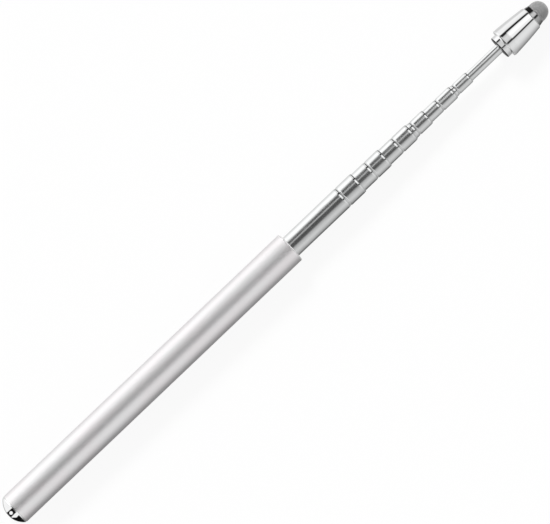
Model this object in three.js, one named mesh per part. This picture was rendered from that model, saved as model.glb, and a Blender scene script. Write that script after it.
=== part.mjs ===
// A telescopic pointer lying on its side. Seven tubes slide inside each other and inside a thicker
// handle tube, and the thinnest carries a bell-shaped head with a soft rounded tip.
// Units are millimetres. +X runs from the handle towards the tip and +Z is up. The origin is on the
// surface that the pointer lies on, under the middle of the handle tube.
// Every piece is turned about the pointer's own axis, which runs along X.

import * as THREE from "three";

// Clearances
const slipGap = 0.05; // radial gap of a piece that slides or spins in another
const fitGap = 0.02; // gap round a piece that is pressed into another
const seatGap = 0.02; // end gap of a piece that is seated against another
const stopGap = 0.1; // end gap that is left at each stop
const softGap = 0.05; // gap round the soft pieces of the tip

// Handle tube
const handleDiameter = 12;
const handleLength = 132.5;
const handleWall = 1;
const mouthWall = 1.2; // thickness of the turned-in end round the mouth
const mouthEdge = 0.65; // rounding of the mouth's outer edge
const mouthGap = 0.1; // radial gap round the head's collar when the pointer is closed
const mouthBushLength = 10;
const mouthBushWall = 0.73; // this sets the first tube's diameter

// Tail cap
const rimInset = 0.18; // how far the cap's rim stays inside the handle's surface
const rimThickness = 0.45;
const domeInset = 0.06; // step from the rim to the foot of the dome
const domeHeight = 2.75;
const spigotLength = 7;
const spigotWall = 1;

// Sliding tubes
const diameterStep = 0.8; // each tube is this much thinner than the one round it
const tubeWall = 0.2;
const grooveWidth = 1.3; // rolled guide groove near each tube's outer end
const lipRun = 0.25; // length over which the rolled lip comes back to the bore

// How far each tube stands out of the one round it
const shown1 = 32.7;
const shown2 = 12.7;
const shown3 = 12.9;
const shown4 = 7.7;
const shown5 = 12.5;
const shown6 = 7.7;
const shownTip = 14.6;

// How far each groove lies behind its tube's outer end
const setback1 = 7.1;
const setback2 = 6.6;
const setback3 = 6.8;
const setback4 = 6.1;
const setback5 = 6.8;
const setback6 = 6.5;

const tubes = [
  { name: "tube_1", shown: shown1, setback: setback1 },
  { name: "tube_2", shown: shown2, setback: setback2 },
  { name: "tube_3", shown: shown3, setback: setback3 },
  { name: "tube_4", shown: shown4, setback: setback4 },
  { name: "tube_5", shown: shown5, setback: setback5 },
  { name: "tube_6", shown: shown6, setback: setback6 },
];
const tipTube = { name: "tip_tube", shown: shownTip };

// Bush pressed into each tube's inner end, and the split spring that sits in its slot
const neckLength = 1.2;
const bushWall = 0.6;
const flangeThickness = 0.6;
const springSlot = 1.2;
const springThickness = 0.15;
const springSplit = 50; // degrees that the spring leaves open

// Head: collar and plug in one piece, bell-shaped shell, ferrule
const collarStep = 0.25; // how far the collar's radius is over the first tube's
const collarLength = 2.15;
const collarChamfer = 0.3;
const collarGrooveWidth = 0.2;
const collarGrooveDepth = 0.2;
const plugStep = 0.95; // how far the plug's radius is under the collar's
const plugLength = 6.5;
const plugFloor = 1.5; // what is left in front of the tip tube's socket
const shellLength = 13.35;
const shellRearDiameter = 11.35;
const shellFrontDiameter = 8.9;
const shoulderRadius = 0.9;
const shellChamfer = 0.25;
const ferruleStep = 0.3; // how far the ferrule's radius is under the shell's front radius
const ferruleTaper = 0.25;
const ferruleLength = 1.85;
const ferruleLip = 0.55; // thickness of the ferrule round the soft tip
const sleeveStep = 0.85; // how far the sleeve's radius is under the ferrule's
const sleeveWall = 1.05;
const sleeveLength = 3.5;

// Soft tip: knitted dome over a rubber core
const tipStep = 0.1; // how far the dome's radius is under the ferrule's front
const tipLength = 4.85;
const tipBluntness = 2.7; // exponent of the dome's outline, where 2 is a half ellipse
const knitThickness = 0.45;
const skirtLength = 1.2; // length of knit that is gripped in the ferrule

// Number of flat sides that stand for round surfaces
const sides = 32; // pieces that show
const innerSides = 24; // pieces inside
const springStep = 360 / innerSides;
const arcSteps = 6;
const edgeSteps = 2;

const satin = new THREE.MeshStandardMaterial({ color: 0xc9c7ca, roughness: 0.36, metalness: 0.9 });
const steel = new THREE.MeshStandardMaterial({ color: 0xc6c8ca, roughness: 0.14, metalness: 1 });
const chrome = new THREE.MeshStandardMaterial({ color: 0xdcdee0, roughness: 0.06, metalness: 1 });
const brass = new THREE.MeshStandardMaterial({ color: 0xb5924c, roughness: 0.35, metalness: 1 });
const bronze = new THREE.MeshStandardMaterial({ color: 0xa9713f, roughness: 0.3, metalness: 1 });
const nylon = new THREE.MeshStandardMaterial({ color: 0x1b1b1c, roughness: 0.6, metalness: 0 });
const knit = new THREE.MeshStandardMaterial({ color: 0x8e8f90, roughness: 0.9, metalness: 0 });
const rubber = new THREE.MeshStandardMaterial({ color: 0x2b2b2c, roughness: 0.85, metalness: 0 });

// Radii and lengths that follow from the sizes above
const handleRadius = handleDiameter / 2;
const handleBore = handleRadius - handleWall;
const axisHeight = handleRadius * Math.cos(Math.PI / sides);
const mouthX = handleLength / 2;
const firstTubeRadius = handleBore - fitGap - mouthBushWall - slipGap;
const collarRadius = firstTubeRadius + collarStep;
const plugRadius = collarRadius - plugStep;
const tipTubeSeat = collarLength + plugLength - plugFloor;
const shellFrontRadius = shellFrontDiameter / 2;
const ferruleRadius = shellFrontRadius - ferruleStep;
const ferruleFrontRadius = ferruleRadius - ferruleTaper;
const sleeveRadius = ferruleRadius - sleeveStep;
const stemRadius = sleeveRadius - sleeveWall - softGap;
const skirtRadius = ferruleFrontRadius - ferruleLip - softGap;
const tipRadius = ferruleFrontRadius - tipStep;
const bushBody = 2 * flangeThickness + springSlot;
const nestStep = bushBody + neckLength + stopGap;
const firstTubeLength = handleLength - collarLength - spigotLength - bushBody - stopGap;
const rolledDepth = diameterStep / 2 - tubeWall - slipGap;

const tubeRadius = (index) => firstTubeRadius - (index * diameterStep) / 2;
const tubeLength = (index) => firstTubeLength - index * nestStep;
const boreRound = (index) => (index === 0 ? handleBore : tubeRadius(index - 1) - tubeWall);

// A hole's flat sides touch the circle that has to stay clear, so its corners lie further out
const hole = (radius, count = sides) => radius / Math.cos(Math.PI / count);

function arc(centreX, centreRadius, radius, fromDegrees, toDegrees, steps) {
  return Array.from({ length: steps + 1 }, (_, i) => {
    const angle = THREE.MathUtils.degToRad(fromDegrees + ((toDegrees - fromDegrees) * i) / steps);
    return [centreX + radius * Math.cos(angle), centreRadius + radius * Math.sin(angle)];
  });
}

// Turns an outline of [x, radius] points about X. The outline runs clockwise, with x to the right and
// the radius upwards, and either starts and ends on the axis or is closed here into a ring.
function turned(name, material, outline, count = sides) {
  const onAxis = outline[0][1] === 0;
  const loop = onAxis ? outline : [...outline, outline[0]];
  const points = loop.map(([x, radius]) => new THREE.Vector2(radius, x));
  const geometry = new THREE.LatheGeometry(points, count, Math.PI / count);
  geometry.rotateZ(-Math.PI / 2);
  const mesh = new THREE.Mesh(geometry, material);
  mesh.name = name;
  return mesh;
}

function handleTube() {
  const mouth = hole(collarRadius + mouthGap);
  const bore = hole(handleBore);
  const edgeX = mouthX - mouthEdge;
  return turned("handle_tube", satin, [
    [-handleLength / 2, handleRadius],
    ...arc(edgeX, handleRadius - mouthEdge, mouthEdge, 90, 0, edgeSteps + 1),
    [mouthX, mouth],
    [mouthX - mouthWall, mouth],
    [mouthX - mouthWall, bore],
    [-handleLength / 2, bore],
  ]);
}

function mouthBush() {
  const front = mouthX - mouthWall - seatGap;
  const guide = hole(tubeRadius(0) + slipGap);
  const counterbore = hole(collarRadius + mouthGap);
  const floor = mouthX - collarLength - stopGap;
  return turned("mouth_bush", nylon, [
    [front - mouthBushLength, handleBore - fitGap],
    [front, handleBore - fitGap],
    [front, counterbore],
    [floor, counterbore],
    [floor, guide],
    [front - mouthBushLength, guide],
  ]);
}

function tailCap() {
  const seat = -handleLength / 2 - seatGap;
  const domeX = seat - rimThickness;
  const rimRadius = handleRadius - rimInset;
  const footRadius = rimRadius - domeInset;
  const spigotRadius = handleBore - fitGap;
  const spigotBore = hole(spigotRadius - spigotWall);
  const domeRadius = (footRadius ** 2 + domeHeight ** 2) / (2 * domeHeight);
  const halfAngle = THREE.MathUtils.radToDeg(Math.asin(footRadius / domeRadius));
  const centre = domeX - domeHeight + domeRadius;
  const dome = arc(centre, 0, domeRadius, 180, 180 - halfAngle, arcSteps).slice(1);
  return turned("tail_cap", chrome, [
    [domeX - domeHeight, 0],
    ...dome,
    [domeX, rimRadius],
    [seat, rimRadius],
    [seat, spigotRadius],
    [seat + spigotLength, spigotRadius],
    [seat + spigotLength, spigotBore],
    [seat, spigotBore],
    [seat, 0],
  ]);
}

// A drawn tube that ends at x = 0, with a guide groove and a lip rolled in round the next tube
function slidingTube(index) {
  const { name, setback } = tubes[index];
  const radius = tubeRadius(index);
  const bore = hole(radius - tubeWall);
  const throat = hole(radius - tubeWall - rolledDepth);
  const lipRadius = tubeWall + rolledDepth;
  const half = grooveWidth / 2;
  return turned(name, steel, [
    [-tubeLength(index), radius],
    [-setback - half, radius],
    [-setback, radius - rolledDepth],
    [-setback + half, radius],
    ...arc(-lipRadius, radius - lipRadius, lipRadius, 90, 0, edgeSteps),
    [0, throat],
    [-tubeWall, throat],
    [-tubeWall - lipRun, bore],
    [-setback + half, bore],
    [-setback, throat],
    [-setback - half, bore],
    [-tubeLength(index), bore],
  ]);
}

// The thinnest tube is plain, and runs on past x = 0 into the head
function plainTube(index) {
  const radius = tubeRadius(index);
  const bore = hole(radius - tubeWall);
  return turned(tipTube.name, steel, [
    [-tubeLength(index), radius],
    [tipTubeSeat, radius],
    [tipTubeSeat, bore],
    [-tubeLength(index), bore],
  ]);
}

// A turned ring on the tube's inner end: a neck pressed into the tube, then two flanges that run in
// the tube round it, with a slot between them for the spring
function endBush(index) {
  const rear = -tubeLength(index) - seatGap;
  const neckRadius = tubeRadius(index) - tubeWall - fitGap;
  const bore = hole(neckRadius - bushWall, innerSides);
  const flange = boreRound(index) - slipGap;
  const floor = boreRound(index) - fitGap - springThickness - slipGap;
  return turned(`end_bush_${index + 1}`, brass, [
    [rear - bushBody, flange],
    [rear - flangeThickness - springSlot, flange],
    [rear - flangeThickness - springSlot, floor],
    [rear - flangeThickness, floor],
    [rear - flangeThickness, flange],
    [rear, flange],
    [rear, neckRadius],
    [rear + neckLength, neckRadius],
    [rear + neckLength, bore],
    [rear - bushBody, bore],
  ], innerSides);
}

// A split ring of springy strip that rubs on the tube round it and holds each length that is set
function frictionSpring(index) {
  const outer = boreRound(index) - fitGap;
  const inner = hole(outer - springThickness, innerSides);
  const count = Math.round((360 - springSplit) / springStep);
  const start = (360 - count * springStep) / 2;
  const angles = Array.from({ length: count + 1 }, (_, i) =>
    THREE.MathUtils.degToRad(start + i * springStep));
  const on = (radius) => (angle) =>
    new THREE.Vector2(radius * Math.cos(angle), radius * Math.sin(angle));
  const strip = new THREE.Shape([...angles.map(on(outer)), ...angles.map(on(inner)).reverse()]);
  const length = springSlot - 2 * slipGap;
  const geometry = new THREE.ExtrudeGeometry(strip, { depth: length, bevelEnabled: false });
  geometry.rotateY(Math.PI / 2);
  const mesh = new THREE.Mesh(geometry, bronze);
  mesh.name = `friction_spring_${index + 1}`;
  mesh.position.x = -tubeLength(index) - seatGap - flangeThickness - springSlot + slipGap;
  return mesh;
}

// The head is placed from the rear face of its collar, at x = 0
function headNeck() {
  const socket = hole(tubeRadius(tubes.length) + fitGap);
  const socketEnd = tipTubeSeat + seatGap;
  const plugEnd = collarLength + plugLength;
  return turned("head_neck", chrome, [
    [socketEnd, 0],
    [socketEnd, socket],
    [0, socket],
    [0, collarRadius - collarChamfer],
    [collarChamfer, collarRadius],
    [collarLength - collarGrooveWidth, collarRadius],
    [collarLength - collarGrooveWidth, collarRadius - collarGrooveDepth],
    [collarLength, collarRadius - collarGrooveDepth],
    [collarLength, plugRadius],
    [plugEnd, plugRadius],
    [plugEnd, 0],
  ]);
}

function headShell() {
  const rear = collarLength + seatGap;
  const front = rear + shellLength;
  const rearRadius = shellRearDiameter / 2;
  const socket = hole(plugRadius + fitGap);
  const socketEnd = collarLength + plugLength + seatGap;
  const sleeveHole = hole(sleeveRadius + fitGap);
  const sleeveHoleEnd = front - sleeveLength - seatGap;
  // the side is one long arc that leaves the shoulder parallel to the axis
  const bellX = rear + shoulderRadius;
  const bellRun = front - shellChamfer - bellX;
  const drop = rearRadius - shellFrontRadius;
  const bellRadius = (bellRun ** 2 + drop ** 2) / (2 * drop);
  const bellAngle = THREE.MathUtils.radToDeg(Math.asin(bellRun / bellRadius));
  const bell = arc(bellX, rearRadius - bellRadius, bellRadius, 90, 90 - bellAngle, arcSteps);
  const shoulder = arc(bellX, rearRadius - shoulderRadius, shoulderRadius, 180, 90, edgeSteps + 1);
  return turned("head_shell", chrome, [
    [socketEnd, 0],
    [socketEnd, socket],
    [rear, socket],
    ...shoulder,
    ...bell.slice(1),
    [front, shellFrontRadius - shellChamfer],
    [front, sleeveHole],
    [sleeveHoleEnd, sleeveHole],
    [sleeveHoleEnd, 0],
  ]);
}

// Where the soft tip leaves the ferrule
const ferruleFront = collarLength + shellLength + ferruleLength + 2 * seatGap;

function tipFerrule() {
  const rear = ferruleFront - ferruleLength;
  const recess = hole(skirtRadius + softGap);
  const recessEnd = ferruleFront - skirtLength - softGap;
  const bore = hole(stemRadius + softGap);
  return turned("tip_ferrule", chrome, [
    [rear - sleeveLength, sleeveRadius],
    [rear, sleeveRadius],
    [rear, ferruleRadius],
    [ferruleFront, ferruleFrontRadius],
    [ferruleFront, recess],
    [recessEnd, recess],
    [recessEnd, bore],
    [rear - sleeveLength, bore],
  ]);
}

// Half of a blunt dome's outline from its foot to its point, with the foot at the ferrule
function domeOutline(radius, length) {
  return Array.from({ length: arcSteps + 1 }, (_, i) => {
    const along = Math.sin((Math.PI / 2) * (i / arcSteps));
    return [ferruleFront + softGap + length * along, radius * Math.sqrt(1 - along ** tipBluntness)];
  });
}

function knittedTip() {
  const skirtEnd = ferruleFront - skirtLength;
  const inside = skirtRadius - knitThickness;
  const outer = domeOutline(tipRadius, tipLength - softGap);
  const inner = domeOutline(tipRadius - knitThickness, tipLength - softGap - knitThickness);
  return turned("tip_knit", knit, [
    ...inner.reverse().map(([x, radius], i) => [x, i === 0 ? 0 : hole(radius)]),
    [ferruleFront + softGap, hole(inside)],
    [skirtEnd, hole(inside)],
    [skirtEnd, skirtRadius],
    [ferruleFront + softGap, skirtRadius],
    ...outer.map(([x, radius], i) => [x, i === arcSteps ? 0 : radius]),
  ]);
}

function tipCore() {
  const stemEnd = ferruleFront - ferruleLength - sleeveLength;
  const shoulder = ferruleFront - skirtLength;
  const inside = skirtRadius - knitThickness - softGap;
  const headRadius = tipRadius - knitThickness - softGap;
  const dome = domeOutline(headRadius, tipLength - knitThickness - 3 * softGap);
  return turned("tip_core", rubber, [
    [stemEnd, 0],
    [stemEnd, stemRadius],
    [shoulder, stemRadius],
    [shoulder, inside],
    [ferruleFront + 2 * softGap, inside],
    ...dome.slice(1).map(([x, radius], i) => [x, i === arcSteps - 1 ? 0 : radius]),
  ]);
}

function group(x, ...children) {
  const placed = new THREE.Group();
  placed.position.x = x;
  placed.add(...children);
  return placed;
}

// Each tube's group hangs on the one round it, so its place is the length that shows
const lastIndex = tubes.length;
let chain = group(
  tipTube.shown,
  plainTube(lastIndex), endBush(lastIndex), frictionSpring(lastIndex),
  headNeck(), headShell(), tipFerrule(), tipCore(), knittedTip(),
);
for (let index = lastIndex - 1; index >= 0; index -= 1) {
  const start = index === 0 ? mouthX : 0;
  chain = group(
    start + tubes[index].shown,
    slidingTube(index), endBush(index), frictionSpring(index), chain,
  );
}

const pointer = group(0, handleTube(), mouthBush(), tailCap(), chain);
pointer.name = "telescopic_pointer";
pointer.position.z = axisHeight;

export default pointer;
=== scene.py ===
# %% [markdown]
# # A telescopic pointer, dressed for its portrait
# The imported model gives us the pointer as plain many-sided solids: a handle, seven tubes that slide
# in each other, and a bell-shaped head with a soft tip. This lesson keeps every place and size and
# makes what shows smooth, with the finishes of the real thing: satin metal, drawn and polished
# steel, bright chrome and fine knit. The frame comes first, because everything hangs on its bodies.

import math

import bmesh
import bpy
from mathutils import Matrix, Vector, noise


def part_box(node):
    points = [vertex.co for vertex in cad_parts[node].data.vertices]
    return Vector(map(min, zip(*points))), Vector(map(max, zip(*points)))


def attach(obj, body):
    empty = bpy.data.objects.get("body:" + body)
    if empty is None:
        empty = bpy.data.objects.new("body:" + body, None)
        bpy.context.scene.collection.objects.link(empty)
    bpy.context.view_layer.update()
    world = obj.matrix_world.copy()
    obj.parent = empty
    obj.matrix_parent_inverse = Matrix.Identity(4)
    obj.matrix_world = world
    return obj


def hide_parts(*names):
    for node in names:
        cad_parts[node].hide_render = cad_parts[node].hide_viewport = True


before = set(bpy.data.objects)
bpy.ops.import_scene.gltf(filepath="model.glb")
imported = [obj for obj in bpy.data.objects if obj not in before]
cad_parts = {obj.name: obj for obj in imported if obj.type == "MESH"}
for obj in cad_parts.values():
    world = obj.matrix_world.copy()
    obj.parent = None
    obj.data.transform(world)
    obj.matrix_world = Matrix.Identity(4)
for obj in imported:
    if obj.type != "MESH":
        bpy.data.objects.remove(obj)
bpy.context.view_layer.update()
print("nodes:", len(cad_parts))

# %% [markdown]
# Drawings of small metal parts are made in millimetres, and Blender works in metres. One constant
# turns one into the other. The pointer lies along X, so each piece is described by places along X
# and radii round one line, which runs as high above the table as half the handle is thick. The
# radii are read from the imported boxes, so they reach to the solids' flat sides. The corners lie half
# a percent further out.

# %% The pointer's own line
MM = 0.001
handle_low, handle_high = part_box("handle_tube")
AXIS = Vector((0, 0, (handle_low.z + handle_high.z) / 2))


def span(node):
    """Where a node starts and ends along X and how far out its flat sides lie, in mm."""
    low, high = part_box(node)
    return low.x / MM, high.x / MM, (high.z - low.z) / 2 / MM


handle_rear, mouth, handle_radius = span("handle_tube")
print(f"line {AXIS.z / MM:.3f} mm up, handle {mouth - handle_rear:.1f} mm long")

# %% [markdown]
# The camera looks almost straight down. The pointer runs up to the right in the picture, so the
# camera is rolled, and it stands a little towards the tail, which is why a sliver of the collar's
# rear face can be seen. A very long lens keeps the tubes' sides parallel and shows every part of
# the pointer from almost the same side.

# %% The camera
ROLL = math.radians(43.615)
TILT = math.radians(2.6)
LENS = 600
SENSOR_WIDTH = 36
FRAME_WIDTH = 191.71
LOOKED_AT = Vector((58.7, -0.05, 0))
NEAR_LIMIT, FAR_LIMIT = 0.1, 100
target = AXIS + LOOKED_AT * MM

camera_data = bpy.data.cameras.new("portrait_camera")
camera_data.sensor_width = SENSOR_WIDTH
camera_data.lens = LENS
camera_data.clip_start = NEAR_LIMIT
camera_data.clip_end = FAR_LIMIT
camera = bpy.data.objects.new("portrait_camera", camera_data)
bpy.context.scene.collection.objects.link(camera)
backward = Vector((-math.sin(TILT), 0, math.cos(TILT)))
upward = Vector((math.sin(ROLL), math.cos(ROLL), 0))
rightward = upward.cross(backward).normalized()
upward = backward.cross(rightward)
distance = FRAME_WIDTH * MM / SENSOR_WIDTH * LENS
placing = Matrix((rightward, upward, backward)).transposed().to_4x4()
placing.translation = target + backward * distance
camera.matrix_world = placing
bpy.context.scene.camera = camera
bpy.context.scene.view_settings.view_transform = "Standard"
print(f"camera {distance:.2f} m away")

# %% [markdown]
# Nearly everything on a pointer is turned on a lathe, so the tool to build is a lathe. An outline
# is drawn as half a cross-section, corner by corner, with x along the pointer and the radius
# upwards. Blender could round the corners with a Bevel modifier after turning, but rounding the
# outline first is cleaner: each corner gets its own rounding, and the turned surface has no
# leftovers. Every long straight also gets a point close to each end. Shading runs smoothly from ring
# to ring, and those points keep the turn at the corner, so that a cone mirrors like a cone. Long
# curves are drawn by swinging one point round the curve's centre. Blender finds out which way is
# outwards from the farthest face, and that can be a sliver that tells it wrong, so the sign of the
# volume has the last word.

# %% A drawing board for outlines
HOLD = 0.02 * MM


class Outline:
    """Half a cross-section in the plane y = 0, drawn from corner to corner."""

    def __init__(self, x, radius, rounding=0):
        self.bm = bmesh.new()
        self.roundings = {}
        self.first = self.pen = self.corner(x, radius, rounding)

    def corner(self, x, radius, rounding):
        vertex = self.bm.verts.new((x * MM, 0, AXIS.z + radius * MM))
        if rounding:
            self.roundings[vertex] = rounding * MM
        return vertex

    def draw(self, vertex):
        self.bm.edges.new((self.pen, vertex))
        self.pen = vertex

    def straight(self, corner):
        """A line from the pen to a corner, with a point where each end's rounding is over."""
        start, way = self.pen.co.copy(), corner.co - self.pen.co
        first = HOLD + self.roundings.get(self.pen, 0)
        last = way.length - HOLD - self.roundings.get(corner, 0)
        if last - first > 2 * HOLD:
            for far in (first, last):
                self.draw(self.bm.verts.new(start + way.normalized() * far))
        self.draw(corner)

    def to(self, x, radius, rounding=0):
        self.straight(self.corner(x, radius, rounding))
        return self

    def swing(self, x, radius, degrees, steps):
        """Swings the pen round (x, radius). Positive degrees turn from upwards towards +X."""
        swung = bmesh.ops.spin(
            self.bm, geom=[self.pen], cent=(x * MM, 0, AXIS.z + radius * MM),
            axis=(0, 1, 0), angle=math.radians(degrees), steps=steps,
        )
        self.pen = swung["geom_last"][0]
        return self

    def close(self):
        self.straight(self.first)
        return self

    def round_corners(self, segments):
        for vertex, rounding in self.roundings.items():
            bmesh.ops.bevel(
                self.bm, geom=[vertex], offset=rounding, offset_type="OFFSET",
                segments=segments, profile=0.5, affect="VERTICES", material=-1,
            )


# %% The lathe
SHARP = math.radians(30)
SAME_POINT = 1e-8
STEPS, FINE_STEPS, COARSE_STEPS = 128, 160, 96
SEGMENTS, FINE_SEGMENTS = 5, 8


def link_piece(name, bm):
    """Makes an object of a finished bmesh, shaded smooth but for its sharp edges."""
    mesh = bpy.data.meshes.new(name)
    bm.to_mesh(mesh)
    bm.free()
    piece = bpy.data.objects.new(name, mesh)
    bpy.context.scene.collection.objects.link(piece)
    mesh.shade_smooth()
    mesh.set_sharp_from_angle(angle=SHARP)
    return piece


def turned(outline, steps, segments):
    """Turns an outline once round the pointer's line, with its faces pointing outwards."""
    outline.round_corners(segments)
    bm = outline.bm
    bmesh.ops.spin(
        bm, geom=bm.verts[:] + bm.edges[:], cent=AXIS, axis=(1, 0, 0),
        angle=math.tau, steps=steps, use_merge=True,
    )
    bmesh.ops.remove_doubles(bm, verts=bm.verts[:], dist=SAME_POINT)
    bmesh.ops.recalc_face_normals(bm, faces=bm.faces[:])
    if bm.calc_volume(signed=True) < 0:
        bmesh.ops.reverse_faces(bm, faces=bm.faces[:])
    open_edges = sum(not edge.is_manifold for edge in bm.edges)
    print(f"turned {len(bm.faces)} faces, {open_edges} open edges")
    return bm


def hang(piece, body, node):
    """Hangs a piece on its body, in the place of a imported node."""
    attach(piece, body)
    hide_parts(node)
    return piece


def turn(name, outline, body, node, steps=STEPS, segments=SEGMENTS):
    """Makes a turned metal piece. Its normals follow the large faces, so that flats look flat."""
    piece = link_piece(name, turned(outline, steps, segments))
    shine = piece.modifiers.new("even shine", "WEIGHTED_NORMAL")
    shine.keep_sharp = True
    return hang(piece, body, node)


# %% [markdown]
# The handle is a length of tube whose front end is turned in round the mouth, so its outer edge has
# a soft rounding that catches the light. The rear edge is only broken, and meets the cap's rim in a
# hairline.

# %% The handle
HANDLE_BORE = 5.0
MOUTH_RADIUS = 4.55
MOUTH_WALL = 1.2
REAR_BREAK = 0.1
MOUTH_ROUNDING, MOUTH_BREAK = 0.5, 0.12

outline = Outline(handle_rear, handle_radius, REAR_BREAK)
outline.to(mouth, handle_radius, MOUTH_ROUNDING).to(mouth, MOUTH_RADIUS, MOUTH_BREAK)
outline.to(mouth - MOUTH_WALL, MOUTH_RADIUS).to(mouth - MOUTH_WALL, HANDLE_BORE)
outline.to(handle_rear, HANDLE_BORE).close()
handle = turn("satin_handle", outline, "handle", "handle_tube",
              FINE_STEPS, FINE_SEGMENTS)

# %% [markdown]
# A chromed cap closes the rear: a spigot pressed into the handle, a thin rim, and a shallow dome.
# The dome is part of a ball, so its outline is one swing from the point to its foot. Pieces that are
# pressed together keep a hair of room between them, here and in the head, so that no two faces lie
# in the same place.

# %% The tail cap
cap_tip, cap_spigot_end, rim_radius = span("tail_cap")
SEAM = 0.02
CAP_SEAT = handle_rear - SEAM
RIM = 0.45
RIM_ROUNDING, SEAT_ROUNDING, SPIGOT_ROUNDING = 0.05, 0.08, 0.1
DOME_STEP = 0.06
DOME_STEPS = 28
SPIGOT_RADIUS, SPIGOT_BORE = 4.97, 3.98
dome_foot = rim_radius - DOME_STEP
dome_height = CAP_SEAT - RIM - cap_tip
dome_radius = (dome_foot**2 + dome_height**2) / (2 * dome_height)
dome_swing = math.degrees(math.asin(dome_foot / dome_radius))

outline = Outline(cap_tip, 0).swing(cap_tip + dome_radius, 0, dome_swing, DOME_STEPS)
outline.to(CAP_SEAT - RIM, rim_radius, RIM_ROUNDING).to(CAP_SEAT, rim_radius, SEAT_ROUNDING)
outline.to(CAP_SEAT, SPIGOT_RADIUS).to(cap_spigot_end, SPIGOT_RADIUS, SPIGOT_ROUNDING)
outline.to(cap_spigot_end, SPIGOT_BORE).to(CAP_SEAT, SPIGOT_BORE).to(CAP_SEAT, 0)
cap = turn("domed_tail_cap", outline, "handle", "tail_cap", FINE_STEPS)

# %% [markdown]
# Six tubes are drawn steel with two rolled details near the outer end: a shallow guide groove, and
# a lip that closes in round the next tube. Both start with a gentle taper, which mirrors a bright
# part of the room, and end in a steeper turn, which mirrors a dark one, so each is a bright ring
# with a thin dark edge. The groove's front wall starts steep and eases off, which adds a second,
# dimmer ring. Inside, rolling has raised a ridge, which stops the next tube's bush. Crest, crook,
# fold and ease are the roundings of the corners, from the top of the groove down and round the lip.
# The six tubes differ only in length, radius and where the groove lies, so one loop draws them all.
# The bore is one wall in from the outer flats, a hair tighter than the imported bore. That leaves the
# friction springs inside almost no room, and the one in the first tube just cuts its wall.

# %% The six rolled tubes
TUBE_WALL = 0.2
ROLLED = 0.15
GROOVE_HALF = 0.76
GROOVE_TAPER, GROOVE_TURN, GROOVE_FLAT = 0.55, 0.28, 0.08
GROOVE_STEEP, GROOVE_RISE, GROOVE_EASE = 0.14, 0.084, 0.33
GROOVE_DROP, GROOVE_DEPTH = 0.077, 0.18
LIP_BACK = 0.45
LIP_LENGTH, LIP_TURN = 0.8, 0.3
LIP_DROP, LIP_DEPTH = 0.07, 0.175
GROOVE_SETBACK = (7.5, 6.6, 6.8, 6.1, 6.8, 6.5)
STOP_SETBACK = (7.1, 6.6, 6.8, 6.1, 6.8, 6.5)
STOP_HALF = 0.65
TUBE_BREAK = 0.04
CREST, CROOK, FOLD, EASE = 0.1, 0.06, 0.03, 0.05

tubes = []
for number, setbacks in enumerate(zip(GROOVE_SETBACK, STOP_SETBACK), start=1):
    start, end, radius = span(f"tube_{number}")
    groove, stop = (end - setback for setback in setbacks)
    bore = radius - TUBE_WALL
    throat = bore - ROLLED
    outline = Outline(start, radius, TUBE_BREAK)
    down = groove - GROOVE_HALF
    floor = radius - GROOVE_DEPTH
    outline.to(down, radius, CREST).to(down + GROOVE_TAPER, radius - GROOVE_DROP, CROOK)
    up = down + GROOVE_TAPER + GROOVE_TURN + GROOVE_FLAT
    outline.to(up - GROOVE_FLAT, floor, FOLD).to(up, floor, FOLD)
    outline.to(up + GROOVE_STEEP, floor + GROOVE_RISE, FOLD)
    outline.to(up + GROOVE_STEEP + GROOVE_EASE, radius, CROOK)
    outline.to(end - LIP_LENGTH, radius, CREST)
    outline.to(end - LIP_TURN, radius - LIP_DROP, EASE).to(end, radius - LIP_DEPTH, EASE)
    outline.to(end, throat).to(end - TUBE_WALL, throat).to(end - LIP_BACK, bore)
    outline.to(stop + STOP_HALF, bore).to(stop, throat).to(stop - STOP_HALF, bore)
    outline.to(start, bore).close()
    tubes.append(
        turn(f"drawn_tube_{number}", outline, f"section_{number}",
             f"tube_{number}")
    )

# %% [markdown]
# The seventh tube is the thinnest and has no groove or lip. It runs on into the head's collar.

# %% The plain tube
start, end, radius = span("tip_tube")
outline = Outline(start, radius, TUBE_BREAK).to(end, radius)
outline.to(end, radius - TUBE_WALL).to(start, radius - TUBE_WALL).close()
tubes.append(
    turn("plain_tube_7", outline, "tip_section", "tip_tube", COARSE_STEPS)
)

# %% [markdown]
# The head is three turned parts. The collar has a chamfered rear edge, tapers by a hair as moulds and
# lathe work often do, and has a fine groove before the shell. The shell is a bell: a narrow sloping
# shoulder, then a side that leans in more and more towards the front. The ferrule tapers down to the
# soft tip and grips it.

# %% The collar
collar_rear, plug_end, collar_radius = span("head_neck")
shell_rear, shell_front, shell_radius = span("head_shell")
COLLAR_CHAMFER = 0.26
COLLAR_GROOVE = 0.2
COLLAR_TAPER = 0.045
PLUG_RADIUS = 3.48
COLLAR_BREAK, COLLAR_EASE, GROOVE_BREAK = 0.04, 0.06, 0.05
SOCKET_ROOM = 0.03
SOCKET_RADIUS = radius + SOCKET_ROOM
SOCKET_END = end + SEAM
collar_front = shell_rear - SEAM

outline = Outline(SOCKET_END, 0).to(SOCKET_END, SOCKET_RADIUS).to(collar_rear, SOCKET_RADIUS)
outline.to(collar_rear, collar_radius - COLLAR_CHAMFER, COLLAR_BREAK)
outline.to(collar_rear + COLLAR_CHAMFER, collar_radius, COLLAR_EASE)
outline.to(collar_front - COLLAR_GROOVE, collar_radius - COLLAR_TAPER, GROOVE_BREAK)
outline.to(collar_front - COLLAR_GROOVE, collar_radius - COLLAR_GROOVE)
outline.to(collar_front, collar_radius - COLLAR_GROOVE).to(collar_front, PLUG_RADIUS)
outline.to(plug_end, PLUG_RADIUS).to(plug_end, 0)
collar = turn("head_collar", outline, "tip_section", "head_neck")

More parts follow.
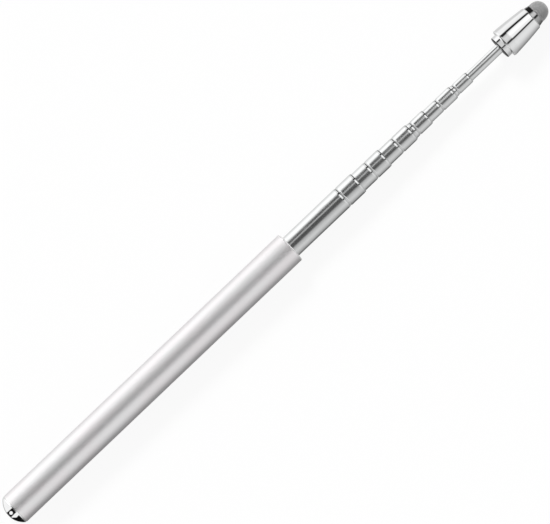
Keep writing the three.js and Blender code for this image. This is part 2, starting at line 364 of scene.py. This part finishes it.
# %% The bell-shaped shell
BELL_START_SLOPE, BELL_END_SLOPE = math.radians(2.6), math.radians(8.0)
SHOULDER_RUN, SHOULDER_DROP = 0.32, 0.18
SHOULDER_ROUNDING, SHOULDER_EASE = 0.1, 0.04
BELL_STEPS = 24
BELL_LEAD = 0.05
SHELL_CHAMFER, SHELL_EASE = 0.25, 0.05
PLUG_SOCKET = 3.52
SLEEVE_RADIUS = 3.3
SLEEVE_LENGTH = 3.5
sleeve_socket = SLEEVE_RADIUS + SEAM
sleeve_floor = shell_front - SLEEVE_LENGTH - SEAM
bell_start = shell_rear + SHOULDER_RUN + BELL_LEAD
bell_run = shell_front - SHELL_CHAMFER - bell_start
bell_radius = bell_run / (math.sin(BELL_END_SLOPE) - math.sin(BELL_START_SLOPE))
bell_x = bell_start - bell_radius * math.sin(BELL_START_SLOPE)
bell_y = shell_radius - bell_radius * math.cos(BELL_START_SLOPE)
bell_swing = math.degrees(BELL_END_SLOPE - BELL_START_SLOPE)
bell_front = bell_y + bell_radius * math.cos(BELL_END_SLOPE)

outline = Outline(plug_end + SEAM, 0).to(plug_end + SEAM, PLUG_SOCKET)
outline.to(shell_rear, PLUG_SOCKET)
outline.to(shell_rear, shell_radius - SHOULDER_DROP, SHOULDER_ROUNDING)
outline.to(shell_rear + SHOULDER_RUN, shell_radius, SHOULDER_EASE)
outline.to(bell_start, shell_radius).swing(bell_x, bell_y, bell_swing, BELL_STEPS)
outline.to(shell_front, bell_front - SHELL_CHAMFER, SHELL_EASE)
outline.to(shell_front, sleeve_socket).to(sleeve_floor, sleeve_socket).to(sleeve_floor, 0)
shell = turn("bell_shell", outline, "tip_section", "head_shell",
             FINE_STEPS, FINE_SEGMENTS)
print(f"bell closes in to {bell_front:.2f} mm")

# %% The ferrule
sleeve_rear, ferrule_front, ferrule_radius = span("tip_ferrule")
knit_low, knit_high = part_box("tip_knit")
knit_foot = (knit_high.z - knit_low.z) / 2 / MM
ferrule_rear = shell_front + SEAM
RECESS_RADIUS, RECESS_DEPTH = 3.35, 1.25
STEM_BORE = 2.25
GRIP = 0.04
FERRULE_ROUNDING = 0.06

outline = Outline(sleeve_rear, SLEEVE_RADIUS).to(ferrule_rear, SLEEVE_RADIUS)
outline.to(ferrule_rear, ferrule_radius, FERRULE_ROUNDING)
outline.to(ferrule_front, knit_foot - GRIP, FERRULE_ROUNDING)
outline.to(ferrule_front, RECESS_RADIUS).to(ferrule_front - RECESS_DEPTH, RECESS_RADIUS)
outline.to(ferrule_front - RECESS_DEPTH, STEM_BORE).to(sleeve_rear, STEM_BORE).close()
ferrule = turn("bright_ferrule", outline, "tip_section", "tip_ferrule")

# %% [markdown]
# The soft tip is a patch of fine knit drawn over a rubber dome. Its loops could be a bump in the
# material, but close up a bump has no edge against the light, so they are made as real relief. The
# tip is turned as a half ball with very many faces, each point of the ball is then moved to a
# blunter dome, and the loops are pressed into it. The cloth is flat before it is stretched, so a
# loop is placed by how much cloth lies between it and the middle of the patch.

# %% The blunt dome and the cloth on it
KNIT_SEAM = 0.05
DOME_FOOT = ferrule_front + KNIT_SEAM
DOME_LENGTH = knit_high.x / MM - DOME_FOOT
BLUNTNESS = 2.7
AROUND, RINGS = 512, 110


def dome_ring(ring, rings, radius, length):
    """Height over the foot and radius of one ring. Ring 0 is the tip."""
    along = math.cos(math.pi / 2 * ring / rings)
    return along * length, radius * math.sqrt(1 - along**BLUNTNESS)


rows = [dome_ring(ring, RINGS, knit_foot, DOME_LENGTH) for ring in range(RINGS + 1)]
area = 0.0
cloth = [0.0]
for (x_0, r_0), (x_1, r_1) in zip(rows, rows[1:]):
    area += (r_0 + r_1) * math.hypot(x_1 - x_0, r_1 - r_0)
    cloth.append(math.sqrt(area))
print(f"the patch is {2 * cloth[-1]:.1f} mm across before it is stretched")

# %% The loops of yarn
WALE, COURSE = 0.8, 0.63
RELIEF = 0.13
SLANT = 0.55
WOBBLE, WOBBLE_SCALE, OTHER_WOBBLE = 0.05, 1.3, 7
LOWEST = 0.3
LEG_ROUNDNESS, CROWN_ROUNDNESS = 0.6, 0.7


def loop_height(across, along):
    """Height of the yarn, from 0 to 1, at a place on the flat cloth in millimetres."""
    across += WOBBLE * noise.noise(Vector((across, along, 0)) * WOBBLE_SCALE)
    along += WOBBLE * noise.noise(Vector((across, along, OTHER_WOBBLE)) * WOBBLE_SCALE)
    leg = 2 * abs(across / WALE - round(across / WALE))
    loops = along / COURSE - SLANT * leg
    crown = abs(math.sin(math.pi * loops)) ** CROWN_ROUNDNESS
    height = LOWEST + (1 - LOWEST) * crown
    return math.sin(math.pi * min(leg, 1)) ** LEG_ROUNDNESS * height


# %% The knitted tip
SKIRT_RADIUS, SKIRT_INSIDE, SKIRT_LENGTH = 3.3, 2.87, 1.2
KNIT_THICKNESS = 0.45
INNER_RINGS = 9
EDGE_RINGS = 5
HEM_DROP, HEM_STEP = 0.03, 0.1
ON_THE_BALL = 1e-3
skirt_end = ferrule_front - SKIRT_LENGTH
hem = DOME_FOOT - HEM_DROP

outline = Outline(DOME_FOOT + knit_foot, 0).swing(DOME_FOOT, 0, -90, RINGS)
outline.to(hem, knit_foot - HEM_STEP).to(hem, SKIRT_RADIUS)
outline.to(skirt_end, SKIRT_RADIUS).to(skirt_end, SKIRT_INSIDE).to(DOME_FOOT, SKIRT_INSIDE)
for ring in range(INNER_RINGS, -1, -1):
    height, radius = dome_ring(
        ring, INNER_RINGS, knit_foot - KNIT_THICKNESS, DOME_LENGTH - KNIT_THICKNESS
    )
    outline.to(DOME_FOOT + height, radius)
bm = turned(outline, AROUND, 1)

yarn = bm.verts.layers.float.new("yarn")
for vertex in bm.verts:
    x, y, z = (vertex.co - AXIS) / MM - Vector((DOME_FOOT, 0, 0))
    if x < -ON_THE_BALL or abs(math.hypot(x, y, z) - knit_foot) > ON_THE_BALL:
        continue
    ring = round(math.acos(max(-1, min(1, x / knit_foot))) / (math.pi / 2) * RINGS)
    height, radius = rows[ring]
    side = Vector((0, y, z)).normalized() if ring else Vector()
    vertex[yarn] = loop_height(cloth[ring] * side.y, cloth[ring] * side.z)
    sunk = RELIEF * (1 - vertex[yarn]) * min(1, (RINGS - ring) / EDGE_RINGS)
    steep = ring / RINGS
    forward = DOME_FOOT + height - sunk * (1 - steep)
    vertex.co = AXIS + (Vector((forward, 0, 0)) + side * (radius - sunk * steep)) * MM
knit = hang(link_piece("knitted_tip", bm), "tip_section", "tip_knit")

# %% [markdown]
# Finishes are node trees, and node trees are easier to read as sums. The small class below stands
# for one socket, so that plain Python arithmetic on it adds Math nodes. Everything that isn't
# arithmetic comes from one method, which takes the kind of node, its settings and its sockets.


# %% Sums on sockets
class Wire:
    """One output socket. Arithmetic on it makes Math nodes."""

    def __init__(self, recipe, socket):
        self.recipe, self.socket = recipe, socket

    def maths(self, operation, first, second):
        return self.recipe.node("ShaderNodeMath", {"operation": operation}, {0: first, 1: second})

    def __add__(self, other):
        return self.maths("ADD", self, other)

    def __sub__(self, other):
        return self.maths("SUBTRACT", self, other)

    def __rsub__(self, other):
        return self.maths("SUBTRACT", other, self)

    def __mul__(self, other):
        return self.maths("MULTIPLY", self, other)

    def __truediv__(self, other):
        return self.maths("DIVIDE", self, other)

    __radd__, __rmul__ = __add__, __mul__


class Recipe:
    """Writes the nodes of one material, or of the world."""

    def __init__(self, owner):
        owner.use_nodes = True
        self.tree = owner.node_tree
        self.tree.nodes.clear()

    def node(self, kind, settings=None, sockets=None, out=0):
        made = self.tree.nodes.new(kind)
        for name, value in (settings or {}).items():
            if name == "stops":
                for index, (place, level) in enumerate(value):
                    stops = made.color_ramp.elements
                    stop = stops[index] if index < 2 else stops.new(place)
                    stop.position = place
                    stop.color = (level, level, level, 1)
            else:
                setattr(made, name, value)
        for name, value in (sockets or {}).items():
            if isinstance(value, Wire):
                self.tree.links.new(value.socket, made.inputs[name])
            else:
                made.inputs[name].default_value = value
        return Wire(self, made.outputs[out]) if made.outputs else made

    def place(self):
        return self.node("ShaderNodeTexCoord", out="Object")

    def parts(self, vector):
        return [
            self.node("ShaderNodeSeparateXYZ", sockets={0: vector}, out=axis) for axis in "XYZ"
        ]

    def stretched(self, vector, scale):
        return self.node("ShaderNodeVectorMath", {"operation": "MULTIPLY"}, {0: vector, 1: scale})

    def clouds(self, vector, scale, detail, roughness=0.5):
        return self.node(
            "ShaderNodeTexNoise", {}, {"Vector": vector, "Scale": scale, "Detail": detail,
                                       "Roughness": roughness},
        )

    def between(self, value, low, high):
        """Goes smoothly from 0 to 1 while the value goes from low to high."""
        return self.node(
            "ShaderNodeMapRange", {"interpolation_type": "SMOOTHSTEP"},
            {"Value": value, "From Min": low, "From Max": high},
        )

    def blend(self, share, first, second):
        return self.node(
            "ShaderNodeMix", {"data_type": "RGBA"}, {0: share, 6: first, 7: second}, out=2
        )

    def bump(self, height, depth):
        return self.node(
            "ShaderNodeBump", {}, {"Height": height, "Distance": depth, "Strength": 1.0}
        )

    def finish(self, **sockets):
        named = {name.replace("_", " "): value for name, value in sockets.items()}
        shader = self.node("ShaderNodeBsdfPrincipled", {}, named)
        self.node("ShaderNodeOutputMaterial", {}, {"Surface": shader})


def dress(material, *pieces):
    for piece in pieces:
        piece.data.materials.clear()
        piece.data.materials.append(material)
    print(f"{material.name}: {', '.join(piece.name for piece in pieces)}")


# %% [markdown]
# Satin silver on the handle is a very fine, even matt skin on bright metal. It spreads reflections
# into soft bands. The real one has a faint mauve cast that comes and goes, and where hands and the
# table rub it, at both ends, it is a little brighter and smoother. The mouth's rounded edge was left
# matt, so it shows as a pale line.

# %% Satin silver
def grey(level, red=1.0, green=1.0, blue=1.0):
    return (level * red, level * green, level * blue, 1)


MICRON = 0.000001
FRONT_RUB, REAR_RUB = (1.3, 0.2), (0.8, 0.1)
MATT_FROM, MATT_TO = 0.45, 0.3

satin = bpy.data.materials.new("satin_silver")
recipe = Recipe(satin)
place = recipe.place()
along, _, _ = recipe.parts(place)
cast = recipe.between(recipe.clouds(recipe.stretched(place, (80, 260, 260)), 1, 2), 0.3, 0.7)
skin = recipe.blend(cast, grey(0.91, 1, 0.97, 0.98), grey(0.90, 1, 0.995, 1))
speckle = recipe.clouds(place, 9000, 2)
front_rub = recipe.between(along, *((mouth - inset) * MM for inset in FRONT_RUB))
rear_rub = recipe.between(along, *((handle_rear + inset) * MM for inset in REAR_RUB))
rub = (front_rub + rear_rub) * recipe.clouds(place, 900, 3)
smear = recipe.clouds(recipe.stretched(place, (90, 400, 400)), 1, 4, 0.6)
matt_edge = recipe.between(along, (mouth - MATT_FROM) * MM, (mouth - MATT_TO) * MM)
recipe.finish(
    Base_Color=recipe.blend(rub, skin, grey(0.95)),
    Metallic=1.0 - 0.7 * matt_edge,
    Roughness=0.31 + 0.05 * speckle + 0.05 * smear - 0.07 * rub + 0.25 * matt_edge,
    Normal=recipe.bump(speckle, 4 * MICRON),
)
dress(satin, handle)

# %% [markdown]
# The tubes are drawn through a die, which leaves hair-fine lines along them, and sliding in each
# other adds faint rings near each lip. Both are far finer than the reflections, so they only dim the
# mirror a little.

# %% Drawn and polished steel
steel = bpy.data.materials.new("drawn_steel")
recipe = Recipe(steel)
place = recipe.place()
draw_lines = recipe.clouds(recipe.stretched(place, (60, 9000, 9000)), 1, 3, 0.6)
slide_rings = recipe.clouds(recipe.stretched(place, (9000, 150, 150)), 1, 2)
patches = recipe.clouds(recipe.stretched(place, (150, 500, 500)), 1, 4)
handling = recipe.between(patches, 0.4, 0.75)
recipe.finish(
    Base_Color=recipe.blend(handling, grey(0.80, 0.99, 1, 1), grey(0.74, 0.99, 1, 1)),
    Metallic=1.0,
    Roughness=0.04 + 0.03 * draw_lines + 0.02 * slide_rings + 0.03 * handling,
    Normal=recipe.bump(draw_lines + 0.4 * slide_rings, 1.2 * MICRON),
)
dress(steel, *tubes)

# %% [markdown]
# The head and the cap are chromed. Chrome is a mirror with almost nothing on it: a trace of the
# polisher's mop as a very slow waviness, and a breath of handling. The collar's rear chamfer gets a
# painted dark reflection: it is coloured near black, which draws the dark line behind the head.

# %% Chrome
EDGE_FADE = 0.05


def chrome_recipe(material, painted_dark_until=None):
    recipe = Recipe(material)
    place = recipe.place()
    wave = recipe.clouds(place, 700, 1)
    breath = recipe.between(recipe.clouds(place, 420, 4, 0.6), 0.45, 0.8)
    plate = recipe.blend(breath, grey(0.90, 0.995, 0.998, 1), grey(0.86, 0.995, 0.998, 1))
    roughness = 0.03 + 0.06 * breath
    if painted_dark_until is not None:
        along, _, _ = recipe.parts(place)
        # Painted dark reflection: the chamfer is coloured near black and made rougher.
        dark = recipe.between(along, (painted_dark_until + EDGE_FADE) * MM, painted_dark_until * MM)
        plate = recipe.blend(dark, plate, grey(0.03))
        roughness = roughness + 0.3 * dark
    recipe.finish(
        Base_Color=plate, Metallic=1.0, Roughness=roughness,
        Normal=recipe.bump(wave, 1.5 * MICRON),
    )
    return material


chrome = chrome_recipe(bpy.data.materials.new("bright_chrome"))
dress(chrome, cap, shell, ferrule)
# The collar's chrome carries a painted dark reflection on its rear chamfer.
painted_reflection_chrome = chrome_recipe(
    bpy.data.materials.new("chrome_with_painted_dark_reflection"), collar_rear + COLLAR_CHAMFER
)
dress(painted_reflection_chrome, collar)

# %% [markdown]
# The knit is a grey yarn with metal fibre in it. The loops' height was stored on the mesh when they
# were pressed in, and the hollows between them are painted darker, as painted shade between the
# loops. Single fibres stand up, which a fine noise and some sheen give.

# %% Knit
cloth_grey = bpy.data.materials.new("grey_knit")
recipe = Recipe(cloth_grey)
place = recipe.place()
fibre = recipe.clouds(place, 14000, 3, 0.7)
wear = recipe.clouds(place, 1000, 3, 0.6)
crown = recipe.node("ShaderNodeAttribute", {"attribute_name": "yarn"}, out="Fac")
# Painted shade: the yarn goes near black where the loops are low, in the hollows between them.
cloth_with_painted_hollow_shade = recipe.blend(recipe.between(crown, 0.15, 0.95), grey(0.03), grey(0.41))
worn = recipe.blend(0.35 * recipe.between(wear, 0.35, 0.65), cloth_with_painted_hollow_shade, grey(0.27))
recipe.finish(
    Base_Color=recipe.blend(0.3 * recipe.between(fibre, 0.35, 0.75), worn, grey(0.46)),
    Metallic=0.0,
    Roughness=0.82 + 0.12 * fibre,
    Sheen_Weight=0.9,
    Normal=recipe.bump(fibre, 20 * MICRON),
)
dress(cloth_grey, knit)

# %% [markdown]
# Inside, where the pieces only show when it is taken apart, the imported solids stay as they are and
# get their finishes: turned brass bushes, bronze springs, a nylon bush in the mouth and the rubber
# under the knit.

# %% The pieces inside
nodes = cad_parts
SECTIONS = range(1, 8)


def turned_metal(name, light, dark, roughness):
    material = bpy.data.materials.new(name)
    recipe = Recipe(material)
    place = recipe.place()
    tool_marks = recipe.clouds(recipe.stretched(place, (12000, 200, 200)), 1, 2)
    tarnish = recipe.between(recipe.clouds(place, 600, 4), 0.4, 0.75)
    recipe.finish(
        Base_Color=recipe.blend(tarnish, light, dark), Metallic=1.0,
        Roughness=roughness + 0.12 * tool_marks + 0.1 * tarnish,
        Normal=recipe.bump(tool_marks, 3 * MICRON),
    )
    return material


def moulded(name, light, dark, roughness, grain):
    material = bpy.data.materials.new(name)
    recipe = Recipe(material)
    place = recipe.place()
    pores = recipe.clouds(place, grain, 2)
    haze = recipe.clouds(place, 500, 3)
    recipe.finish(
        Base_Color=recipe.blend(haze, light, dark), Metallic=0.0,
        Roughness=roughness + 0.15 * haze, Normal=recipe.bump(pores, 6 * MICRON),
    )
    return material


brass = turned_metal("turned_brass", (0.72, 0.53, 0.25, 1), (0.60, 0.42, 0.19, 1), 0.26)
bronze = turned_metal("spring_bronze", (0.68, 0.42, 0.24, 1), (0.55, 0.32, 0.18, 1), 0.24)
nylon = moulded("black_nylon", grey(0.012), grey(0.02), 0.5, 6000)
rubber = moulded("tip_rubber", grey(0.02), grey(0.03), 0.7, 9000)
dress(brass, *(nodes[f"end_bush_{n}"] for n in SECTIONS))
dress(bronze, *(nodes[f"friction_spring_{n}"] for n in SECTIONS))
dress(nylon, nodes["mouth_bush"])
dress(rubber, nodes["tip_core"])

# %% [markdown]
# Bright metal has no look of its own. What it shows is the room, so most of the work on a picture of
# chrome is the room. Here the room is drawn in the world's nodes by direction. A direction could be
# named by its height and compass bearing, but another way suits turned parts better: by how a mirror
# on the pointer has to face to show it to the camera. That is half-way between the direction itself
# and the direction the tubes are looked at from, which is nearly straight up. One angle then says
# where round the pointer the mirror sits, doubled, with 0 on top and positive on the near side. The
# other says how steeply the surface slopes down towards the tip. So each slope on the pointer gets
# its own ring of light and dark cards.

# %% The room by the way a mirror faces
ROOM_LEVEL = 2.1
SEEN_FROM = math.radians(3.75)


def ring_of_light(recipe, angle, stops):
    """A ramp all the way round the line. Each stop is degrees and a level of light."""
    return recipe.node(
        "ShaderNodeValToRGB",
        {"stops": [(degrees / 360 + 0.5, level / ROOM_LEVEL) for degrees, level in stops]},
        {0: angle / 360 + 0.5},
    )


world = bpy.data.worlds.new("studio")
bpy.context.scene.world = world
room = Recipe(world)
direction = room.node("ShaderNodeTexCoord", out="Generated")
half_way = room.node(
    "ShaderNodeVectorMath", {"operation": "ADD"},
    {0: direction, 1: (-math.sin(SEEN_FROM), 0, math.cos(SEEN_FROM))},
)
facing = room.node("ShaderNodeVectorMath", {"operation": "NORMALIZE"}, {0: half_way})
facing_tip, facing_far, facing_up = room.parts(facing)
facing_near = 0 - facing_far
slope = room.node("ShaderNodeMath", {"operation": "ARCSINE"}, {0: facing_tip}) * math.degrees(1)
round_line = room.node(
    "ShaderNodeMath", {"operation": "ARCTAN2"}, {0: facing_near, 1: facing_up}
) * math.degrees(2)

# %% [markdown]
# The tubes lie level and show black card on both sides of the camera, a narrow gap of light between,
# a large white panel on the far side and a greyer one on the near side. The thinnest tubes are seen
# a little more from the tail, where that gap is wider. The bell leans forward, past the card, and
# shows a white pane with a thin dark frame. The ferrule leans more and shows a black curtain. The
# handle's satin skin gathers light from far round, so its own zone fills in what the others leave
# out. The levels are those of light that a perfect mirror would show. A zone takes over from the
# one before it while the slope goes from its first angle to its second.

# %% What each slope sees
SEEN_BY_TAIL = ((-180, 1.0), (180, 1.0))
SEEN_BY_SHOULDER = (
    (-180, 0.8), (-70, 0.8), (-56, 0.02), (16, 0.02), (30, 0.7), (100, 0.6), (180, 0.8),
)
SEEN_BY_GROOVES = (
    (-180, 0.5), (-132, 0.85), (-112, 1.0), (-100, 1.15), (-78, 1.15), (-66, 1.0), (-54, 0.6),
    (-40, 0.72), (14, 0.72), (29, 0.6), (39, 0.6), (60, 0.71), (97, 0.59), (125, 0.3), (150, 0.2),
    (180, 0.5),
)
SEEN_BY_HANDLE = (
    (-180, 0.83), (-140, 0.81), (-115, 1.05), (-95, 1.42), (-80, 1.44), (-68, 1.74), (-56, 2.0),
    (-45, 1.46), (-35, 0.65), (-25, 0.22), (-15, 0.1), (-5, 0.01), (5, 0.11), (15, 0.7), (25, 1.15),
    (35, 1.09), (48, 0.95), (62, 0.91), (78, 0.68), (95, 0.35), (112, 0.18), (130, 0.19),
    (150, 0.24), (180, 0.29),
)
SEEN_BY_TUBES = (
    (-180, 0.6), (-132, 0.92), (-112, 1.1), (-100, 1.29), (-78, 1.3), (-68, 1.2), (-60, 0.9),
    (-52, 0.42), (-45, 0.15), (-38, 0.1), (-32, 0.17), (-27, 0.36), (-22, 0.54), (-19, 0.46),
    (-14, 0.12), (-9, 0.08), (14, 0.11), (19, 0.18), (29, 0.46), (39, 0.54), (60, 0.71), (71, 0.75),
    (83, 0.69), (97, 0.6), (105, 0.54), (118, 0.4), (135, 0.17), (150, 0.06), (170, 0.06),
    (180, 0.2),
)
SEEN_BY_MIDDLE_TUBES = (
    (-180, 0.45), (-132, 0.75), (-112, 1.05), (-100, 1.32), (-80, 1.4), (-70, 1.12), (-64, 0.52),
    (-58, 0.07), (-52, 0.01), (-35, 0.01), (-30, 0.06), (-25, 0.22), (-21, 0.36), (-17, 0.3),
    (-12, 0.12), (-6, 0.06), (12, 0.07), (19, 0.11), (28, 0.35), (39, 0.6), (60, 0.71), (74, 0.74),
    (97, 0.6), (110, 0.5), (125, 0.32), (140, 0.14), (155, 0.05), (172, 0.08), (180, 0.2),
)
SEEN_BY_THIN_TUBES = (
    (-180, 0.5), (-150, 0.95), (-125, 1.1), (-110, 1.3), (-98, 1.34), (-88, 1.2), (-78, 0.7),
    (-70, 0.24), (-57, 0.08), (-50, 0.33), (-42, 0.85), (-34, 1.15), (-22, 1.25), (-14, 0.92),
    (-6, 0.5), (2, 0.3), (12, 0.24), (20, 0.34), (28, 0.54), (38, 0.72), (60, 0.74), (86, 0.74),
    (104, 0.6), (127, 0.45), (150, 0.3), (180, 0.4),
)
SEEN_BY_COLLAR = (
    (-180, 0.5), (-150, 0.7), (-118, 0.8), (-102, 1.1), (-76, 1.1), (-69, 1.0), (-65, 0.04),
    (-52, 0.04), (-47, 0.65), (4, 0.72), (8, 0.6), (12, 0.06), (20, 0.06), (25, 0.6), (57, 0.78),
    (82, 0.72), (107, 0.5), (137, 0.36), (180, 0.5),
)
SEEN_BY_BELL_REAR = (
    (-180, 0.6), (-150, 0.75), (-124, 0.68), (-106, 0.95), (-73, 1.0), (-66, 0.9), (-62.5, 0.02),
    (-44, 0.02), (-40, 0.6), (-23, 0.78), (-3, 0.74), (7, 0.6), (10.5, 0.04), (21.5, 0.04),
    (26, 0.66), (45, 0.8), (62, 0.8), (82, 0.72), (105, 0.55), (130, 0.42), (180, 0.5),
)
SEEN_BY_BELL = (
    (-180, 0.6), (-150, 0.75), (-124, 0.68), (-112, 0.85), (-102, 1.02), (-74, 0.95), (-65, 0.72),
    (-62.5, 0.02), (-48, 0.02), (-44, 0.9), (-34, 1.1), (-22, 1.25), (-11, 1.1), (-3, 0.97),
    (9, 0.98), (13.5, 0.05), (23, 0.05), (27.5, 0.7), (43, 0.83), (62, 0.84), (82, 0.75),
    (105, 0.55), (130, 0.34), (150, 0.22), (180, 0.3),
)
SEEN_BY_FERRULE = (
    (-180, 0.3), (-150, 0.4), (-138, 0.22), (-124, 0.03), (-100, 0.02), (-66, 0.015), (-46, 0.012),
    (-41, 0.1), (-35, 0.32), (-27, 0.54), (-18, 0.62), (0, 0.6), (8, 0.52), (13, 0.18),
    (17, 0.02), (29, 0.02), (35, 0.24), (44, 0.42), (55, 0.37), (79, 0.31), (93, 0.22), (108, 0.16),
    (128, 0.1), (180, 0.08),
)
SEEN_BY_LIPS = (
    (-180, 0.5), (-118, 0.5), (-112, 0.07), (-52, 0.05), (-46, 0.17), (10, 0.17), (30, 0.55),
    (70, 0.65), (120, 0.45), (180, 0.5),
)
SEEN_BY_EDGES = (
    (-180, 0.7), (-110, 0.85), (-66, 0.8), (-61, 0.06), (-47, 0.06), (-43, 0.28), (12, 0.28),
    (40, 0.45), (180, 0.4),
)
ZONES = (
    (-36.5, -35.0, SEEN_BY_SHOULDER),
    (-27.5, -26.5, SEEN_BY_GROOVES),
    (-13.5, -12.5, SEEN_BY_HANDLE),
    (-1.7, -1.3, SEEN_BY_TUBES),
    (-0.26, -0.18, SEEN_BY_MIDDLE_TUBES),
    (0.1, 0.3, SEEN_BY_THIN_TUBES),
    (1.2, 1.45, SEEN_BY_COLLAR),
    (2.6, 2.8, SEEN_BY_BELL_REAR),
    (4.05, 4.25, SEEN_BY_BELL),
    (10.5, 11.1, SEEN_BY_FERRULE),
    (16.2, 17.2, SEEN_BY_LIPS),
    (30.0, 34.0, SEEN_BY_EDGES),
)
level = ring_of_light(room, round_line, SEEN_BY_TAIL)
for first, last, stops in ZONES:
    seen = ring_of_light(room, round_line, stops)
    level = room.blend(room.between(slope, first, last), level, seen)

# %% [markdown]
# The domed cap at the tail shows the end of the room: a window with a dark frame and a round bright
# lamp in it, and below them a black cloth with a bent upper edge.

# %% What the domed cap sees
SOFT = 0.012
WINDOW_HALF = 0.14
WINDOW_LOW, WINDOW_HIGH = -0.984, -0.64
LAMP_TILT = 0.839
LAMP_EDGE = (0.07, 0.092)
CLOTH_EDGE = (0.305, 0.325)
CLOTH_BEND = 1.01
CLOTH_CORNER = (1.12, 1.145)
CAP_SLOPES = (-35, -37)
CAP_UNDERSIDE = (0.3, 0.16)


def inside(value, low, high):
    """1 where the value is between low and high, with soft edges."""
    return room.between(value, low - SOFT, low + SOFT) * room.between(
        value, high + SOFT, high - SOFT
    )


from_lamp = room.node(
    "ShaderNodeVectorMath", {"operation": "LENGTH"},
    {0: room.node("ShaderNodeCombineXYZ", {}, {0: facing_tip + LAMP_TILT, 1: facing_near})},
    out=1,
)
window = inside(facing_near, -WINDOW_HALF, WINDOW_HALF) * inside(
    facing_tip, WINDOW_LOW, WINDOW_HIGH
)
frame_only = window * room.between(from_lamp, *LAMP_EDGE)
cloth_edge = room.between(facing_near, *CLOTH_EDGE)
cloth_corner = room.between(facing_near - CLOTH_BEND * facing_tip, *CLOTH_CORNER)
black_cloth = room.node(
    "ShaderNodeMath", {"operation": "MAXIMUM"}, {0: cloth_edge, 1: cloth_corner}
)
on_the_cap = room.between(slope, *CAP_SLOPES)
level = room.blend(on_the_cap * room.between(facing_up, *CAP_UNDERSIDE), level, grey(0.25))
level = room.blend(on_the_cap * (frame_only + black_cloth), level, grey(0.003))
light = room.node("ShaderNodeBackground", {}, {"Color": level, "Strength": ROOM_LEVEL})
white = room.node("ShaderNodeBackground", {}, {"Color": grey(1), "Strength": 1})
seen = room.node("ShaderNodeLightPath", out="Is Camera Ray")
room.node(
    "ShaderNodeOutputWorld", {},
    {"Surface": room.node("ShaderNodeMixShader", {}, {0: seen, 1: light, 2: white})},
)
print("room drawn with", len(world.node_tree.nodes), "nodes")

# %% [markdown]
# A soft sun from the far side gives the shadow on the table. The table is pale and mostly shows its
# own white to the camera, so that it stays white like the paper of a catalogue and still keeps the
# shadow. It hides from mirrors: they show the room's own lower half, which is drawn for them.

# %% The sun and the table
SUN_STRENGTH = 2.2
SUN_WIDTH = math.radians(14)
SUN_FROM = Vector((0.25, 1, 0.85))
sun_data = bpy.data.lights.new("window", "SUN")
sun_data.energy = SUN_STRENGTH
sun_data.angle = SUN_WIDTH
sun = bpy.data.objects.new("window", sun_data)
bpy.context.scene.collection.objects.link(sun)
sun.rotation_euler = SUN_FROM.to_track_quat("Z", "Y").to_euler()
sun.visible_glossy = False

TABLE_HALF = 8
OWN_WHITE = 0.9
bm = bmesh.new()
bmesh.ops.create_grid(bm, x_segments=1, y_segments=1, size=TABLE_HALF)
table = link_piece("table", bm)
table.visible_glossy = False
paper = bpy.data.materials.new("white_paper")
recipe = Recipe(paper)
lit = recipe.node("ShaderNodeBsdfDiffuse", {}, {"Color": grey(0.95)})
own = recipe.node("ShaderNodeEmission", {}, {"Color": grey(1), "Strength": 1})
seen = recipe.node("ShaderNodeLightPath", out="Is Camera Ray")
recipe.node(
    "ShaderNodeOutputMaterial", {},
    {"Surface": recipe.node("ShaderNodeMixShader", {}, {0: OWN_WHITE * seen, 1: lit, 2: own})},
)
dress(paper, table)
